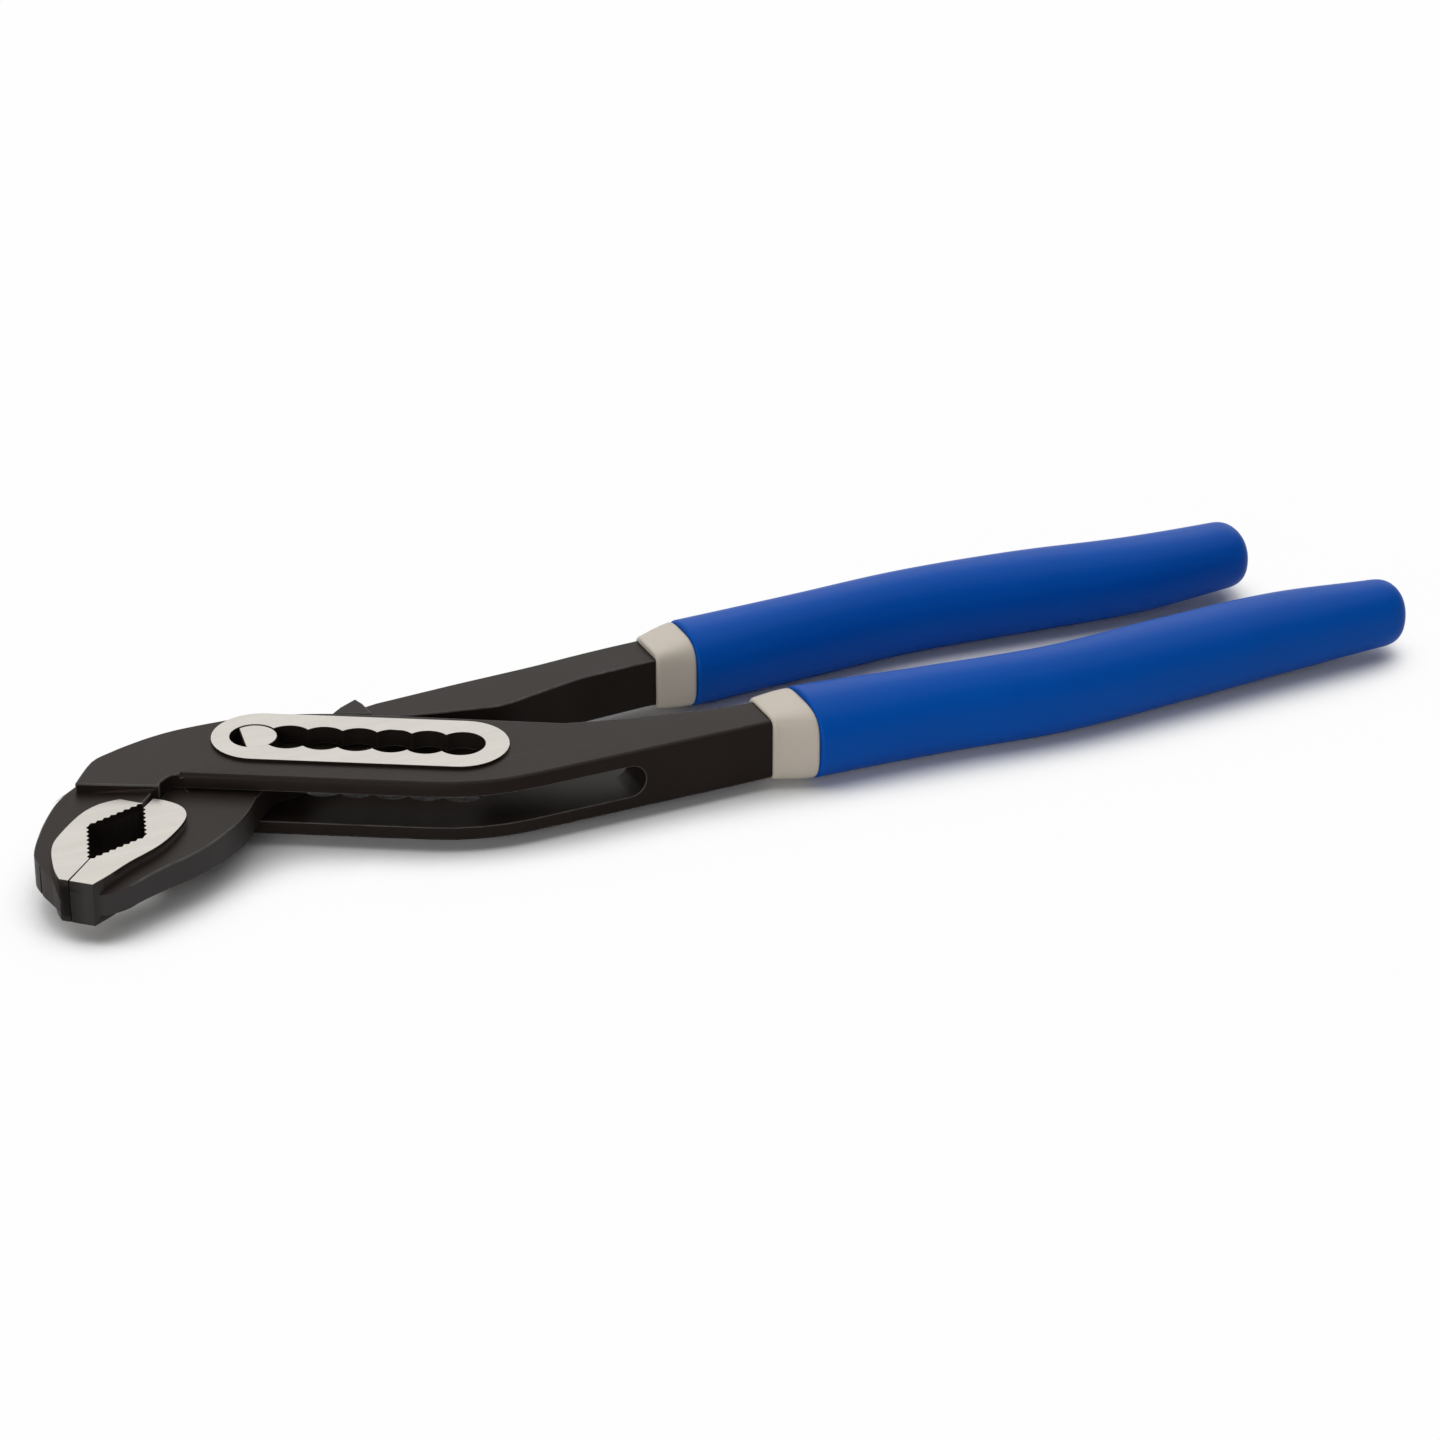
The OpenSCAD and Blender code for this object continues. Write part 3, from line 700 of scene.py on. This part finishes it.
# Inner collar: the same pale guard in a smaller size, moulded round the end of the rear
# handle's steel. It keeps the hand from sliding on towards the box.
INNER_COLLAR = 7.0
INNER_RISE = 7.5
INNER_MID = [INNER_RISE * s for s in (0.553, 0.645, 0.748, 0.527, 0.205, 0.245)]
INNER_WIDE = [GRIP_HALF_W * s for s in (0.89, 0.825, 0.82, 0.869, 0.82, 0.735)]
INNER_HIGH = [GRIP_HALF_H * s for s in (0.98, 0.98, 0.97, 0.95, 0.88, 0.76)]
inner_collar = collar("inner_guard_collar",
                      front=(INNER_REACH, 3.5, 4.9, 5.5),
                      back=(INNER_REACH + INNER_COLLAR, INNER_MID[0], 6.6, 6.6),
                      steel=(3.5, 4.0, 4.35))
inner_collar.data.materials.append(collar_plastic)
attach(inner_collar, "inner")
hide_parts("inner_collar")


# Outer grip: a thick sleeve of blue plastic, dipped on the steel in several coats. It swells
# for the palm, narrows for the fingers and ends in a soft round tip.
def spline(a, b, c, d, t):
    """A smooth value a share of the way from b to c, with a and d their neighbours."""
    square = (2 * a - 5 * b + 4 * c - d) * t * t
    cube = (3 * b - a - 3 * c + d) * t ** 3
    return 0.5 * (2 * b + (c - a) * t + square + cube)


def along(values, t):
    """A smooth value a share of the way along evenly spaced ones."""
    last = len(values) - 1
    x = min(max(t, 0.0), 1.0) * last
    i = min(int(x), last - 1)
    return spline(values[max(i - 1, 0)], values[i], values[i + 1], values[min(i + 2, last)], x - i)


GRIP_CORNERS = 72
GRIP_ROWS = 120
GRIP_SQUARENESS = 2.2
LIP, LIP_ROWS = 0.5, 5

# The hole for the tang stops this far from the sleeve's end
TANG_HALF_W, TANG_HALF_H, TANG_SQUARENESS = 3.15, 3.25, 12
TANG_STOP, TANG_ROWS = 12.0, 12

# The cap starts this far before the end and reaches this far, so it stays inside the solid.
# Its rows narrow towards a point that lies just past the last of them.
CAP, CAP_REACH = 5.0, 4.82
CAP_ROWS, CAP_POINT_ROW = 12, 12.4
CAP_FULLNESS = 3.0


def grip(name, x0, length, mids, wides, highs):
    """A dipped sleeve: the hole for the tang, the front lip, the body and the end's cap."""
    rows = []
    tang_end = length - TANG_STOP
    for k in range(TANG_ROWS + 1):
        t = (TANG_ROWS - k) / TANG_ROWS * tang_end / length
        rows.append(section(x0 + t * length, along(mids, t), TANG_HALF_W, TANG_HALF_H,
                            TANG_SQUARENESS, GRIP_CORNERS))
    for k in range(LIP_ROWS + 1):
        turn = math.radians(90 * k / LIP_ROWS)
        rows.append(section(x0 + LIP * (1 - math.cos(turn)), mids[0],
                            wides[0] - LIP + LIP * math.sin(turn),
                            highs[0] - LIP + LIP * math.sin(turn), GRIP_SQUARENESS, GRIP_CORNERS))
    for k in range(1, GRIP_ROWS + 1):
        x = LIP + (length - CAP - LIP) * k / GRIP_ROWS
        t = x / length
        rows.append(section(x0 + x, along(mids, t), along(wides, t), along(highs, t),
                            GRIP_SQUARENESS, GRIP_CORNERS))
    for k in range(1, CAP_ROWS + 1):
        reach = math.sin(math.radians(90 * k / CAP_POINT_ROW))
        x = length - CAP + CAP_REACH * reach
        t = x / length
        narrowed = (1 - reach ** CAP_FULLNESS) ** (1 / CAP_FULLNESS)
        rows.append(section(x0 + x, along(mids, t), along(wides, t) * narrowed,
                            along(highs, t) * narrowed, GRIP_SQUARENESS, GRIP_CORNERS))
    return loft(name, rows)


dipped_plastic = moulded_plastic(
    "blue_dipped_plastic", dark=(0.0, 0.06, 0.33), pale=(0.0001, 0.076, 0.4),
    grain_scales=(900.0, 40.0), roughness=(0.3, 0.14), bump_size=(0.06, 0.2 * MM),
    Specular_IOR_Level=0.06)

OUTER_GRIP = 115.2
outer_grip = grip("outer_dipped_grip", OUTER_REACH + OUTER_COLLAR, OUTER_GRIP,
                  OUTER_MID, OUTER_WIDE, OUTER_HIGH)
outer_grip.data.materials.append(dipped_plastic)
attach(outer_grip, "outer")
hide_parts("outer_grip")

# Inner grip: the same blue plastic, dipped in several coats on the rear handle. It is a
# little shorter than the front one, and it curves the other way.
INNER_GRIP = 109.4
inner_grip = grip("inner_dipped_grip", INNER_REACH + INNER_COLLAR, INNER_GRIP,
                  INNER_MID, INNER_WIDE, INNER_HIGH)
inner_grip.data.materials.append(dipped_plastic)
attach(inner_grip, "inner")
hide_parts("inner_grip")


# Floor: a sweep of white paper under the tool, for the picture only. It shows white to the
# camera and in reflections, and keeps a soft shadow where the tool stands close to it.
def seen_by_eye(tree):
    """1 for what the camera sees, directly or in a reflection, and 0 for what only lights."""
    path = tree.nodes.new("ShaderNodeLightPath")
    return calculate(tree, "MAXIMUM", path.outputs["Is Camera Ray"], path.outputs["Is Glossy Ray"])


def blend_shaders(tree, mask, first, second, out):
    """Sends the first shader to the output where the mask is 0 and the second where it is 1."""
    blend = tree.nodes.new("ShaderNodeMixShader")
    for i, source in enumerate((mask, first.outputs[0], second.outputs[0])):
        tree.links.new(source, blend.inputs[i])
    tree.links.new(blend.outputs[0], out.inputs[0])


SHADOW_REACH = 0.02
GLOW_SHARE = 0.95
bpy.ops.mesh.primitive_plane_add(size=6.0)
floor = bpy.context.object
floor.name = "white_floor"
paper = bpy.data.materials.new("white_paper")
paper.use_nodes = True
paper_tree = paper.node_tree
paper_tree.nodes.clear()
paper_out = paper_tree.nodes.new("ShaderNodeOutputMaterial")
sheet = add_node(paper_tree, "ShaderNodeBsdfDiffuse", Color=(0.82, 0.82, 0.82, 1))
glow = add_node(paper_tree, "ShaderNodeEmission", Color=(1, 1, 1, 1), Strength=1.0)
openness = add_node(paper_tree, "ShaderNodeAmbientOcclusion", {"samples": 12}, Distance=SHADOW_REACH)
lit = add_node(paper_tree, "ShaderNodeMapRange", {"interpolation_type": "SMOOTHSTEP"},
               From_Min=0.5, From_Max=0.85)
paper_tree.links.new(openness.outputs["AO"], lit.inputs["Value"])
open_floor = calculate(paper_tree, "MULTIPLY", seen_by_eye(paper_tree), lit.outputs[0])
glowing = calculate(paper_tree, "MULTIPLY", open_floor, GLOW_SHARE)
blend_shaders(paper_tree, glowing, sheet, glow, paper_out)
floor.data.materials.append(paper)

# Studio: a white room that lights the tool softly from all round, with one wide lamp
# overhead and a small one in front of the nose.
world = bpy.data.worlds.new("white_room")
bpy.context.scene.world = world
world.use_nodes = True
room_tree = world.node_tree
room_tree.nodes.clear()
room_out = room_tree.nodes.new("ShaderNodeOutputWorld")
white_wall = add_node(room_tree, "ShaderNodeBackground", Color=(1, 1, 1, 1), Strength=1.0)
room_light = add_node(room_tree, "ShaderNodeBackground", Color=(1, 1, 1, 1), Strength=0.1)
blend_shaders(room_tree, seen_by_eye(room_tree), room_light, white_wall, room_out)


def lamp(name, at, size, watts):
    """A flat rectangular lamp that faces the tool."""
    light = bpy.data.lights.new(name, "AREA")
    light.shape = "RECTANGLE"
    light.size, light.size_y = size
    light.energy = watts
    obj = bpy.data.objects.new(name, light)
    obj.location = at
    obj.rotation_euler = (-Vector(at)).to_track_quat("-Z", "Y").to_euler()
    bpy.context.scene.collection.objects.link(obj)


lamp("overhead_softbox", at=(0.1, 0.6, 1.4), size=(3.6, 3.2), watts=50.0)
lamp("nose_softbox", at=(-0.8, -0.75, 0.35), size=(0.7, 0.5), watts=5.0)

# Camera: a long lens on the front handle's side, looking down on the tool from the place
# where the photograph was taken.
shot = bpy.data.cameras.new("photograph")
shot.lens = 122.6
shot.sensor_width = 36.0
shot.sensor_fit = "HORIZONTAL"
camera = bpy.data.objects.new("photograph", shot)
camera.location = hinge + Vector((-231.4, -678.1, 387.6)) * MM
aim = hinge + Vector((82.62, -4.71, -7.5)) * MM - camera.location
camera.rotation_euler = aim.to_track_quat("-Z", "Y").to_euler()
bpy.context.scene.collection.objects.link(camera)
bpy.context.scene.camera = camera
bpy.context.scene.view_settings.view_transform = "Standard"

bpy.context.view_layer.update()
